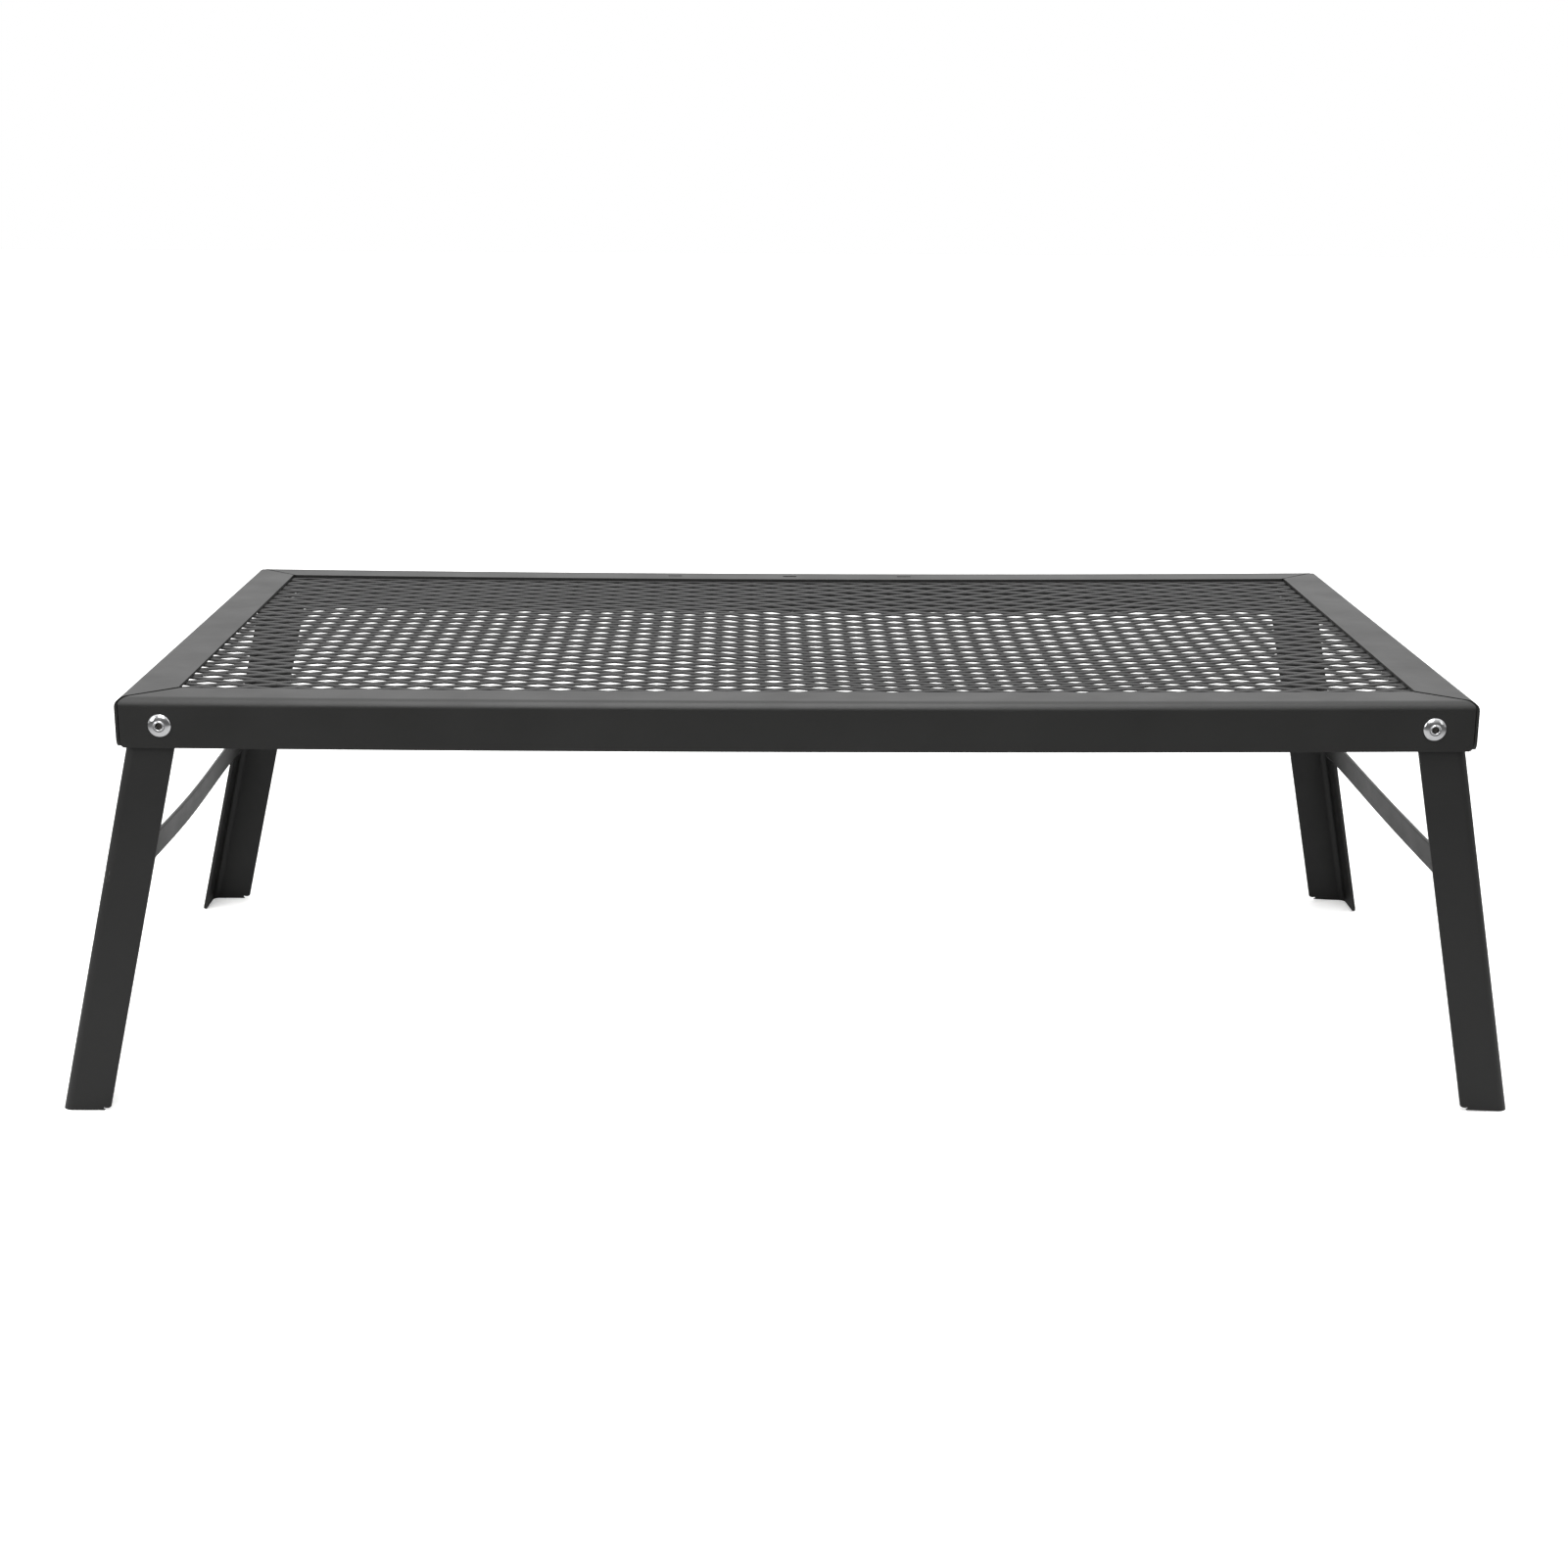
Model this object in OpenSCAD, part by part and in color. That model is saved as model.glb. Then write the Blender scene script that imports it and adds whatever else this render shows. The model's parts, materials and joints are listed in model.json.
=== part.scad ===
// Low folding camp table: an expanded-metal top in a mitred angle-rail frame,
// on four angle legs. Each end's two legs are tied by a flat strip and fold
// inward together about two blind rivets, until they lie flat under the top.
// Frame: origin on the floor under the middle of the top, +X to the right
// end, +Y to the rear, +Z up. Drawn standing, with both pairs on their stops.

/* [Table] */
// Length of the top, left to right
table_w = 560; // [480:5:640]
// Depth of the top, front to rear
table_d = 300; // [250:5:360]
// Height of the top above the floor
table_h = 182; // [150:1:220]

/* [Rails] */
// Thickness of the rail sheet
rail_sheet = 1.2; // [1:0.1:1.5]
// Height of the rails' skirts, measured from the top face
skirt_h = 21; // [19:0.5:26]
// Width of the end rails' top flanges
end_flange_w = 22; // [20:0.5:28]
// Width of the front and rear rails' top flanges
long_flange_w = 19.5; // [18:0.5:26]
// Outer radius of the rails' bends
rail_bend_r = 4; // [3:0.25:5]
// Width of the open line left at each mitre, along X
mitre_gap = 2; // [0.3:0.1:2.4]
// Radius on the lower corners of the long rails' skirts
skirt_corner_r = 2; // [1:0.5:5]
// Radius on the lower corners of the end rails' skirts
end_corner_r = 4; // [2:0.5:5]

/* [Mesh] */
// Length of one mesh opening's pitch, along X
mesh_pitch_x = 20; // [16:1:24]
// Width of one mesh opening's pitch, along Y
mesh_pitch_y = 12; // [10:1:14]
// Length of the metal between two openings in a row
mesh_knuckle = 4.6; // [1.6:0.1:6]
// Width of the metal between two openings in a column
mesh_bridge = 3; // [1.8:0.1:4]
// Thickness of the flattened mesh
mesh_t = 0.9; // [0.8:0.1:1.5]
// How far the mesh reaches under the flanges
mesh_lap = 8; // [5:0.5:9]

/* [Legs] */
// Thickness of the leg sheet
leg_sheet = 1.5; // [1.2:0.1:2]
// Width of a leg's face flange
leg_face_w = 20; // [18:0.5:24]
// Width of a leg's side flange
leg_side_w = 22; // [18:0.5:26]
// Outer radius of the legs' bends
leg_bend_r = 4.5; // [3:0.25:5]
// Outward lean of the left pair on its stop, in degrees
left_splay = 13; // [8:0.1:16]
// Outward lean of the right pair on its stop, in degrees
right_splay = 10.8; // [8:0.1:16]
// Angle of the cut across each foot, in degrees
foot_cut = 13; // [8:0.1:16]
// Radius on the free corners of a leg's flanges
leg_corner_r = 3; // [1:0.5:4]

/* [Crossbars] */
// Width of the strip between two legs
crossbar_w = 13.5; // [10:0.5:20]
// Thickness of the strip
crossbar_t = 2; // [1.5:0.1:3]
// Distance from the pivots to the strip's middle, down the legs
crossbar_drop = 81.5; // [50:0.5:110]

/* [Pivots] */
// Distance of each pivot from the end of the table
pivot_inset = 18.1; // [17.5:0.1:20]
// Distance of each pivot below the top face
pivot_drop = 11.6; // [11:0.1:13]
// Distance of each pivot from its leg's outer side
pivot_to_side = 12.9; // [12:0.1:13.5]
// Diameter of the rivets' shanks
rivet_d = 4.8; // [4:0.1:5]
// Diameter of the rivets' heads
rivet_head_d = 9.6; // [9:0.1:11]
// Radial play of the legs on the rivets
pivot_play = 0.08; // [0.02:0.01:0.1]
// Side play between a leg and each washer
side_play = 0.2; // [0.1:0.05:0.4]
// Thickness of the washers
washer_t = 0.8; // [0.6:0.1:1]

/* [Hidden] */
$fn = 64;

powder_black = [0.13, 0.13, 0.13];
bare_aluminium = [0.82, 0.82, 0.83];
zinc_steel = [0.6, 0.6, 0.62];
slack = 1;                                        // overrun of cutting shapes

half_w = table_w / 2;
half_d = table_d / 2;
butt_gap = 0.35;                                  // between a long rail's end and the end rail
rail_end = half_w - rail_sheet - butt_gap;        // where the long rails' skirts stop
mitre_slope = end_flange_w / long_flange_w;       // X per Y along a mitre

mesh_w = table_w - 2 * (end_flange_w - mesh_lap);
mesh_d = table_d - 2 * (long_flange_w - mesh_lap);
mesh_rim = 1.6;                                   // closed edge of the panel, under the flanges
mesh_top = table_h - rail_sheet;
mesh_cols = ceil(mesh_w / mesh_pitch_x / 2);
mesh_rows = ceil(mesh_d / mesh_pitch_y / 2);
weld_leg = 2;                                     // size of the fillet welds
mesh_weld_len = 7;
mesh_weld_step = 60;

pivot_x = half_w - pivot_inset;
pivot_z = table_h - pivot_drop;
leg_gap = rail_sheet + washer_t + side_play;      // from a skirt's outer face to its leg
stop_clearance = 0.3;
stop_rise = pivot_drop - rail_sheet - stop_clearance;   // room for a leg's top above its pivot
swing_r = stop_rise - 1;                          // the face flange's top corner turns in this
side_inner = pivot_to_side - leg_sheet;           // from a pivot to the side flange's inner face
face_reach = leg_face_w - pivot_to_side;          // from a pivot to the face flange's free edge
crossbar_overlap = leg_side_w - 6;                // length of strip lying on each side flange
crossbar_len = table_d - 2 * (leg_gap + leg_side_w - crossbar_overlap);
crossbar_weld_len = crossbar_overlap - 4;

washer_d = 9.5;
grip = leg_gap + leg_sheet + side_play + washer_t;      // from a skirt's outer face to the bulb
head_h = 1.7;                                     // height of a rivet's domed head
head_rim_h = 0.4;                                 // upright edge under the dome
bore_r = 1.45;
bulb_r = 3.4;
bulb_len = 5;
stem_r = 1.4;
stem_recess = 1.1;                                // the broken stem's depth below the head
stem_ball_r = 2.1;

// ---- shared shapes -------------------------------------------------------

// Section of a bent angle: outer faces on x = 0 and y = 0, flanges towards +x and -y.
module angle_section(flange, skirt, sheet, bend_r) {
    translate([bend_r, -sheet]) square([flange - bend_r, sheet]);
    translate([0, -skirt]) square([sheet, skirt - bend_r]);
    translate([bend_r, -bend_r]) intersection() {
        translate([-bend_r, 0]) square(bend_r);
        difference() {
            circle(bend_r);
            circle(bend_r - sheet);
        }
    }
}

// Waste outside a rounded square corner at the origin; the part lies towards +x and +y.
module corner_waste(r) {
    difference() {
        translate([-slack, -slack]) square(r + slack);
        translate([r, r]) circle(r);
    }
}

// Section of a weld bead: a quarter round in the corner of the axes.
module bead_section() {
    intersection() {
        square(weld_leg);
        circle(weld_leg);
    }
}

// Stands a flat shape upright across the table, thick towards +Y.
module upright(thick) {
    translate([0, thick, 0]) rotate([90, 0, 0]) linear_extrude(thick) children();
}

// Draws its children and their mirror image at the other end of the table.
module both_ends() {
    children();
    mirror([1, 0, 0]) children();
}

// Draws its children and their mirror image on the other long side.
module both_sides() {
    children();
    mirror([0, 1, 0]) children();
}

// ---- top frame -----------------------------------------------------------

// Plan of the front rail: butted between the end rails' skirts, then mitred.
module long_rail_plan() {
    near_y = (half_w - rail_end - mitre_gap / 2) / mitre_slope - half_d;
    inner_x = half_w - end_flange_w - mitre_gap / 2;
    inner_y = long_flange_w - half_d;
    polygon([[-rail_end, -half_d], [rail_end, -half_d], [rail_end, near_y],
             [inner_x, inner_y], [-inner_x, inner_y], [-rail_end, near_y]]);
}

// Plan of the left rail: its skirt runs the full depth and its flange is mitred.
module end_rail_plan() {
    skirt_x = rail_sheet - half_w;
    near_y = half_d - (rail_sheet + mitre_gap / 2) / mitre_slope;
    inner_x = end_flange_w - half_w;
    inner_y = half_d - (end_flange_w + mitre_gap / 2) / mitre_slope;
    polygon([[-half_w, -half_d], [skirt_x, -half_d], [skirt_x, -near_y], [inner_x, -inner_y],
             [inner_x, inner_y], [skirt_x, near_y], [skirt_x, half_d], [-half_w, half_d]]);
}

// The front rail, with a rivet hole near each end of its skirt.
module long_rail() {
    color(powder_black) difference() {
        intersection() {
            translate([-half_w, -half_d, table_h]) rotate([90, 0, 90]) linear_extrude(table_w)
                angle_section(long_flange_w, skirt_h, rail_sheet, rail_bend_r);
            translate([0, 0, table_h - skirt_h - slack])
                linear_extrude(skirt_h + 2 * slack) long_rail_plan();
        }
        both_ends() {
            translate([-rail_end, -half_d - slack, table_h - skirt_h])
                upright(rail_sheet + 2 * slack) corner_waste(skirt_corner_r);
            translate([-pivot_x, -half_d - slack, pivot_z])
                upright(rail_sheet + 2 * slack) circle(d = rivet_d);
        }
    }
}

// The left rail.
module end_rail() {
    color(powder_black) difference() {
        intersection() {
            translate([-half_w, half_d, table_h]) rotate([90, 0, 0]) linear_extrude(table_d)
                angle_section(end_flange_w, skirt_h, rail_sheet, rail_bend_r);
            translate([0, 0, table_h - skirt_h - slack])
                linear_extrude(skirt_h + 2 * slack) end_rail_plan();
        }
        both_sides() translate([-half_w - slack, -half_d, table_h - skirt_h]) rotate([90, 0, 90])
            linear_extrude(rail_sheet + 2 * slack) corner_waste(end_corner_r);
    }
}

module front_rail() { long_rail(); }
module rear_rail() { mirror([0, 1, 0]) long_rail(); }
module left_rail() { end_rail(); }
module right_rail() { mirror([1, 0, 0]) end_rail(); }

// One lozenge opening of the mesh.
module mesh_opening() {
    half_len = (mesh_pitch_x - mesh_knuckle) / 2;
    half_wid = (mesh_pitch_y - mesh_bridge) / 2;
    polygon([[-half_len, 0], [0, -half_wid], [half_len, 0], [0, half_wid]]);
}

// The expanded-metal panel: rows of openings staggered by half a pitch.
module mesh_panel() {
    color(powder_black) translate([0, 0, mesh_top - mesh_t]) linear_extrude(mesh_t) difference() {
        square([mesh_w, mesh_d], center = true);
        intersection() {
            square([mesh_w - 2 * mesh_rim, mesh_d - 2 * mesh_rim], center = true);
            for (stagger = [0, 0.5], col = [-mesh_cols:mesh_cols], row = [-mesh_rows:mesh_rows])
                translate([(col + stagger) * mesh_pitch_x, (row + stagger) * mesh_pitch_y])
                    mesh_opening();
        }
    }
}

// Short beads that hold the mesh's cut edge to the underside of the flanges.
module mesh_welds() {
    long_count = floor((mesh_w / 2 - mesh_weld_len) / mesh_weld_step);
    end_count = floor((mesh_d / 2 - mesh_weld_len) / mesh_weld_step);
    color(powder_black) {
        both_sides() for (i = [-long_count:long_count])
            translate([i * mesh_weld_step - mesh_weld_len / 2, -mesh_d / 2, mesh_top])
                rotate([90, 0, 90]) linear_extrude(mesh_weld_len) rotate(180) bead_section();
        both_ends() for (i = [-end_count:end_count])
            translate([-mesh_w / 2, i * mesh_weld_step + mesh_weld_len / 2, mesh_top])
                rotate([90, 0, 0]) linear_extrude(mesh_weld_len) rotate(180) bead_section();
    }
}

// Upright beads inside the corners, from the long rails' skirts to the end rails'.
module corner_welds() {
    color(powder_black) both_ends() both_sides()
        translate([rail_sheet - half_w, rail_sheet - half_d, table_h - skirt_h + end_corner_r])
            linear_extrude(skirt_h - end_corner_r - rail_bend_r) bead_section();
}

// ---- legs ----------------------------------------------------------------
// A leg is drawn upright as the front left one: its pivot on the Y axis, its face
// flange's outer side on y = 0 and its side flange towards -x, then leant and placed.

// Length of a leg above its pivot: the side flange's top meets the stop at this lean.
function top_len(splay) = (stop_rise - pivot_to_side * sin(splay)) / cos(splay);

// Length of a leg below its pivot, on the pivot's own line: the outer corner meets the floor.
function foot_len(splay) =
    pivot_z / cos(splay) + pivot_to_side * (tan(splay) - tan(foot_cut));

module upright_leg(splay) {
    outer_foot = foot_len(splay) + pivot_to_side * tan(foot_cut);
    top = top_len(splay);
    difference() {
        translate([-pivot_to_side, 0, -outer_foot]) linear_extrude(outer_foot + top)
            mirror([0, 1]) angle_section(leg_face_w, leg_side_w, leg_sheet, leg_bend_r);
        // the hole for the rivet
        translate([0, -slack, 0]) upright(leg_sheet + 2 * slack) circle(rivet_d / 2 + pivot_play);
        // the face flange's top corner, which swings under the rail
        translate([0, -slack, 0]) upright(leg_sheet + 2 * slack) difference() {
            square([leg_face_w, top + slack]);
            circle(swing_r);
        }
        // the side flange's free corners
        for (end = [0, 1])
            translate([-pivot_to_side - slack, leg_side_w, end == 0 ? -outer_foot : top])
                mirror([0, 0, end]) rotate([90, 0, 90]) linear_extrude(leg_sheet + 2 * slack)
                    mirror([1, 0]) corner_waste(leg_corner_r);
        // the cut across the foot
        translate([0, -slack, -foot_len(splay)]) rotate([0, -foot_cut, 0])
            translate([-leg_face_w, 0, -leg_face_w])
                cube([2 * leg_face_w, leg_side_w + 2 * slack, leg_face_w]);
        // the foot's inner corner
        translate([face_reach, -slack, face_reach * tan(foot_cut) - foot_len(splay)])
            upright(leg_sheet + 2 * slack) rotate(-foot_cut) mirror([1, 0]) corner_waste(leg_corner_r);
    }
}

// Leans its children outward about the left pivots and puts them there.
module on_left_pivots(splay) {
    translate([-pivot_x, 0, pivot_z]) rotate([0, splay, 0]) children();
}

module left_leg(splay) {
    color(powder_black) on_left_pivots(splay)
        translate([0, leg_gap - half_d, 0]) upright_leg(splay);
}

module front_left_leg() { left_leg(left_splay); }
module rear_left_leg() { mirror([0, 1, 0]) left_leg(left_splay); }
module front_right_leg() { mirror([1, 0, 0]) left_leg(right_splay); }
module rear_right_leg() { mirror([0, 1, 0]) mirror([1, 0, 0]) left_leg(right_splay); }

// The flat strip on the inner faces of the left pair's side flanges.
module crossbar(splay) {
    color(powder_black) on_left_pivots(splay)
        translate([-side_inner, -crossbar_len / 2, -crossbar_drop - crossbar_w / 2])
            cube([crossbar_t, crossbar_len, crossbar_w]);
}

// Beads along the strip's upper and lower edges, on each side flange.
module crossbar_welds(splay) {
    color(powder_black) on_left_pivots(splay)
        translate([-side_inner, 0, -crossbar_drop]) both_sides() for (edge = [0, 1])
            mirror([0, 0, edge])
                translate([0, crossbar_weld_len + 2 - crossbar_len / 2, crossbar_w / 2])
                    rotate([90, 0, 0]) linear_extrude(crossbar_weld_len) bead_section();
}

module left_crossbar() { crossbar(left_splay); }
module right_crossbar() { mirror([1, 0, 0]) crossbar(right_splay); }
module left_crossbar_welds() { crossbar_welds(left_splay); }
module right_crossbar_welds() { mirror([1, 0, 0]) crossbar_welds(right_splay); }

// ---- pivots --------------------------------------------------------------
// Drawn on the front left pivot's line: +z of each section runs inward from the skirt.

module on_rivet_line() {
    translate([-pivot_x, -half_d, pivot_z]) rotate([-90, 0, 0]) children();
}

// The blind rivet: a domed head, a shank and the bulb that its stem pulled up.
module rivet() {
    head_r = rivet_head_d / 2;
    cap_h = head_h - head_rim_h;
    dome_r = (head_r * head_r + cap_h * cap_h) / (2 * cap_h);
    bulb_mid = bulb_len / 2;
    color(bare_aluminium) on_rivet_line() rotate_extrude() difference() {
        union() {
            translate([0, -head_rim_h]) square([head_r, head_rim_h]);
            intersection() {
                translate([0, -head_h]) square([head_r, cap_h]);
                translate([0, dome_r - head_h]) circle(dome_r);
            }
            square([rivet_d / 2, grip + bulb_len]);
            intersection() {
                translate([bulb_r - bulb_mid, grip + bulb_mid]) circle(bulb_mid);
                translate([0, grip]) square([bulb_r, bulb_len]);
            }
        }
        translate([0, -head_h - slack]) square([bore_r, grip + bulb_len + head_h + 2 * slack]);
    }
}

// The stem's broken end inside the rivet, with its ball on the blind side.
module stem() {
    stem_start = stem_recess - head_h;
    ball_mid = grip + bulb_len + 0.8 * stem_ball_r;
    color(zinc_steel) on_rivet_line() {
        translate([0, 0, stem_start]) cylinder(h = ball_mid - stem_start, r = stem_r);
        translate([0, 0, ball_mid]) sphere(stem_ball_r);
    }
}

// A washer whose outer side is this far in from the skirt's outer face.
module washer(depth) {
    color(zinc_steel) on_rivet_line() translate([0, 0, depth]) difference() {
        cylinder(h = washer_t, d = washer_d);
        translate([0, 0, -slack]) cylinder(h = washer_t + 2 * slack, r = rivet_d / 2 + pivot_play);
    }
}

module pivot_washer() { washer(rail_sheet); }
module backing_washer() { washer(grip - washer_t); }

module to_rear() { mirror([0, 1, 0]) children(); }
module to_right() { mirror([1, 0, 0]) children(); }

front_rail();
rear_rail();
left_rail();
right_rail();
mesh_panel();
mesh_welds();
corner_welds();
front_left_leg();
rear_left_leg();
front_right_leg();
rear_right_leg();
left_crossbar();
right_crossbar();
left_crossbar_welds();
right_crossbar_welds();
rivet();  // front_left_rivet
to_rear() rivet();  // rear_left_rivet
to_right() rivet();  // front_right_rivet
to_right() to_rear() rivet();  // rear_right_rivet
stem();  // front_left_stem
to_rear() stem();  // rear_left_stem
to_right() stem();  // front_right_stem
to_right() to_rear() stem();  // rear_right_stem
pivot_washer();  // front_left_pivot_washer
to_rear() pivot_washer();  // rear_left_pivot_washer
to_right() pivot_washer();  // front_right_pivot_washer
to_right() to_rear() pivot_washer();  // rear_right_pivot_washer
backing_washer();  // front_left_backing_washer
to_rear() backing_washer();  // rear_left_backing_washer
to_right() backing_washer();  // front_right_backing_washer
to_right() to_rear() backing_washer();  // rear_right_backing_washer
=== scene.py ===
# %% [markdown]
# # A folding side table of powder-coated steel
# A low table with an expanded-metal top in a mitred frame of bent sheet, on four
# angle legs that turn on blind rivets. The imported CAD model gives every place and
# size, so this lesson only makes the surfaces that the eye meets: rolled edges, the
# flattened mesh, weld beads, turned rivets, and the coat on all of it. Work starts by
# loading that model as a fixed frame, because a piece that is made in the same frame
# needs no fitting afterwards.

import json
from math import pi, radians

import bpy
from mathutils import Matrix, Vector


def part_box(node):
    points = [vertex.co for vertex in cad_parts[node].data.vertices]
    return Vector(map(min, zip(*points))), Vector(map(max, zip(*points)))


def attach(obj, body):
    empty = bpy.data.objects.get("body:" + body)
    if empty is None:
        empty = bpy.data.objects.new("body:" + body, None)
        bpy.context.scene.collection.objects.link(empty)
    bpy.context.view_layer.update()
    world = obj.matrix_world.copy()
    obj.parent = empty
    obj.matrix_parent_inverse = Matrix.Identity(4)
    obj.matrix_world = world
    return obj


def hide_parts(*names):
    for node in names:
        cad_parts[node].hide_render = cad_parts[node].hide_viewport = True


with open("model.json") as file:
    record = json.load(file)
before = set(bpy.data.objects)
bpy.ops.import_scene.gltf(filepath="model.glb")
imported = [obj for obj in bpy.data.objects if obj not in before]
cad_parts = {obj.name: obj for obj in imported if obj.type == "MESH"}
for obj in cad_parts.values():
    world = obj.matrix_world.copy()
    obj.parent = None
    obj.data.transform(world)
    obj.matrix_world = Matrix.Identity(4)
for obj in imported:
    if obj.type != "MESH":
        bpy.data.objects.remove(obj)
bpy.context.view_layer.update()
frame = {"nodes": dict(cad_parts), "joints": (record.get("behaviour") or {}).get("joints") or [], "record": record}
cad_nodes = frame["nodes"]
MM = 0.001
HAIR = 0.001 * MM                  # how near counts as touching

# %% [markdown]
# ## Working habits
# An operator acts on whatever is selected, and a freshly loaded model is selected all
# over. So each step first picks one object, and in edit mode picks faces, edges or
# points by where they lie. Three small helpers do that, which keeps the steps short.

# %% Pick an object, open it for editing, pick parts of it
def pick(piece):
    """Selects only this object and makes it the active one."""
    bpy.ops.object.select_all(action="DESELECT")
    bpy.context.view_layer.objects.active = piece
    piece.select_set(True)


def open_mesh(piece, mode="VERT"):
    """Opens an object in edit mode with everything selected."""
    pick(piece)
    bpy.ops.object.mode_set(mode="EDIT")
    bpy.ops.mesh.select_mode(type=mode)
    bpy.ops.mesh.select_all(action="SELECT")


def close_mesh():
    bpy.ops.object.mode_set(mode="OBJECT")


def pick_points(piece, wanted):
    """In edit mode, selects just the points whose place passes the test."""
    bpy.ops.mesh.select_all(action="DESELECT")
    bpy.ops.object.mode_set(mode="OBJECT")
    for point in piece.data.vertices:
        point.select = wanted(point.co)
    bpy.ops.object.mode_set(mode="EDIT")


def apply_modifier(piece, kind, **settings):
    """Adds a modifier with these settings and applies it at once."""
    modifier = piece.modifiers.new(kind.title(), kind)
    for name, value in settings.items():
        setattr(modifier, name, value)
    pick(piece)
    bpy.ops.object.modifier_apply(modifier=modifier.name)


def face_outwards(piece):
    open_mesh(piece)
    bpy.ops.mesh.normals_make_consistent(inside=False)
    close_mesh()


def smooth(piece, angle):
    """Shades a piece smooth, apart from edges sharper than the angle."""
    pick(piece)
    bpy.ops.object.shade_smooth_by_angle(angle=radians(angle))


# %% [markdown]
# ## Colours and nodes
# Colours are written as the hex values a painter's chart gives, and one function turns
# them into the linear values that a renderer mixes. Every material is a small net of
# nodes, so one function adds a node with its settings and its links.

# %% Colour and node helpers
def colour(chart_hex):
    """A chart colour such as "#1d1d1e" as linear red, green, blue and alpha."""
    values = [int(chart_hex[i : i + 2], 16) / 255 for i in (1, 3, 5)]
    return [v / 12.92 if v <= 0.04045 else ((v + 0.055) / 1.055) ** 2.4 for v in values] + [1]


def node(tree, kind, links=None, values=None, **settings):
    """Adds a node: settings are its options, values and links go to its sockets."""
    made = tree.nodes.new("ShaderNode" + kind)
    for name, setting in settings.items():
        setattr(made, name, setting)
    for socket, value in (values or {}).items():
        made.inputs[socket].default_value = value
    for socket, source in (links or {}).items():
        tree.links.new(source, made.inputs[socket])
    return made


def new_material(name):
    """An empty material, its node tree, and the output of its object coordinates."""
    material = bpy.data.materials.new(name)
    material.use_nodes = True
    material.node_tree.nodes.clear()
    return material, material.node_tree, node(material.node_tree, "TexCoord").outputs["Object"]


MIX_A, MIX_B, MIXED = 6, 7, 2      # the colour sockets of a Mix node

# %% [markdown]
# ## Powder coat
# The rails, legs, strips and mesh are mild steel under one black polyester powder
# coat. The powder is sprayed dry and melts in an oven, so it flows into a satin skin
# with a faint orange peel about 1.5 mm from crest to crest. It gathers dust as tiny
# pale specks and takes pale rubs where things have knocked it. Its colour is nearly
# black, and most of what the eye sees is the soft sheen of its surroundings, so the
# roughness matters more than the colour. The peel is really too fine to show at arm's
# length; it is drawn at its own size and made a little deeper, so that it just breaks
# up the sheen.

# %% Powder coat materials
def powder_coat(name, dark, light, roughness, peel_mm=1.5, peel_depth=0.012, rubs=()):
    """Satin black powder coat; rubs are (middle, reach) in metres of pale rubbed marks."""
    material, tree, place = new_material(name)
    cloud = node(tree, "TexNoise", {"Vector": place}, {"Scale": 1 / (70 * MM), "Detail": 3})
    tint = node(tree, "Mix", {0: cloud.outputs["Fac"]},
                {MIX_A: colour(dark), MIX_B: colour(light)}, data_type="RGBA")
    # dust: one cell in three, 16 mm apart, holds a speck 0.4 mm across
    cells = node(tree, "TexVoronoi", {"Vector": place}, {"Scale": 1 / (16 * MM)})
    speck = node(tree, "MapRange", {"Value": cells.outputs["Distance"]},
                 {"From Min": 0.019, "From Max": 0.010})
    chance = node(tree, "SeparateColor", {"Color": cells.outputs["Color"]})
    rare = node(tree, "Math", {0: chance.outputs["Red"]}, {1: 0.66}, operation="GREATER_THAN")
    marks = node(tree, "Math", {0: speck.outputs["Result"], 1: rare.outputs["Value"]},
                 operation="MULTIPLY").outputs["Value"]
    for middle, reach in rubs:
        # a rub is a patch of short scratches: stretched noise, kept inside a soft ball
        moved = node(tree, "Mapping", {"Vector": place},
                     {"Location": [-m / r for m, r in zip(middle, reach)],
                      "Scale": [1 / r for r in reach]})
        inside = node(tree, "TexGradient", {"Vector": moved.outputs["Vector"]},
                      gradient_type="SPHERICAL")
        hairs = node(tree, "Mapping", {"Vector": place},
                     {"Scale": (1 / (0.7 * MM), 1 / (0.7 * MM), 1 / (2.6 * MM))})
        scratch = node(tree, "TexNoise", {"Vector": hairs.outputs["Vector"]},
                       {"Scale": 1.0, "Detail": 2})
        kept = node(tree, "MapRange", {"Value": scratch.outputs["Fac"]},
                    {"From Min": 0.56, "From Max": 0.66, "To Max": 0.8})
        patch = node(tree, "Math", {0: kept.outputs["Result"], 1: inside.outputs["Fac"]},
                     operation="MULTIPLY")
        marks = node(tree, "Math", {0: marks, 1: patch.outputs["Value"]},
                     operation="MAXIMUM").outputs["Value"]
    dusty = node(tree, "Mix", {0: marks, MIX_A: tint.outputs[MIXED]},
                 {MIX_B: colour("#8d8c88")}, data_type="RGBA")
    sheen = node(tree, "TexNoise", {"Vector": place}, {"Scale": 1 / (25 * MM), "Detail": 4})
    satin = node(tree, "MapRange", {"Value": sheen.outputs["Fac"]},
                 {"From Min": 0.3, "From Max": 0.7,
                  "To Min": roughness - 0.04, "To Max": roughness + 0.05})
    peel = node(tree, "TexNoise", {"Vector": place}, {"Scale": 1 / (peel_mm * MM), "Detail": 2})
    relief = node(tree, "Bump", {"Height": peel.outputs["Fac"]},
                  {"Strength": 1.0, "Distance": peel_depth * MM})
    coat = node(tree, "BsdfPrincipled",
                {"Base Color": dusty.outputs[MIXED], "Roughness": satin.outputs["Result"],
                 "Normal": relief.outputs["Normal"]}, {"IOR": 1.5})
    node(tree, "OutputMaterial", {"Surface": coat.outputs["BSDF"]})
    return material


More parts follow.
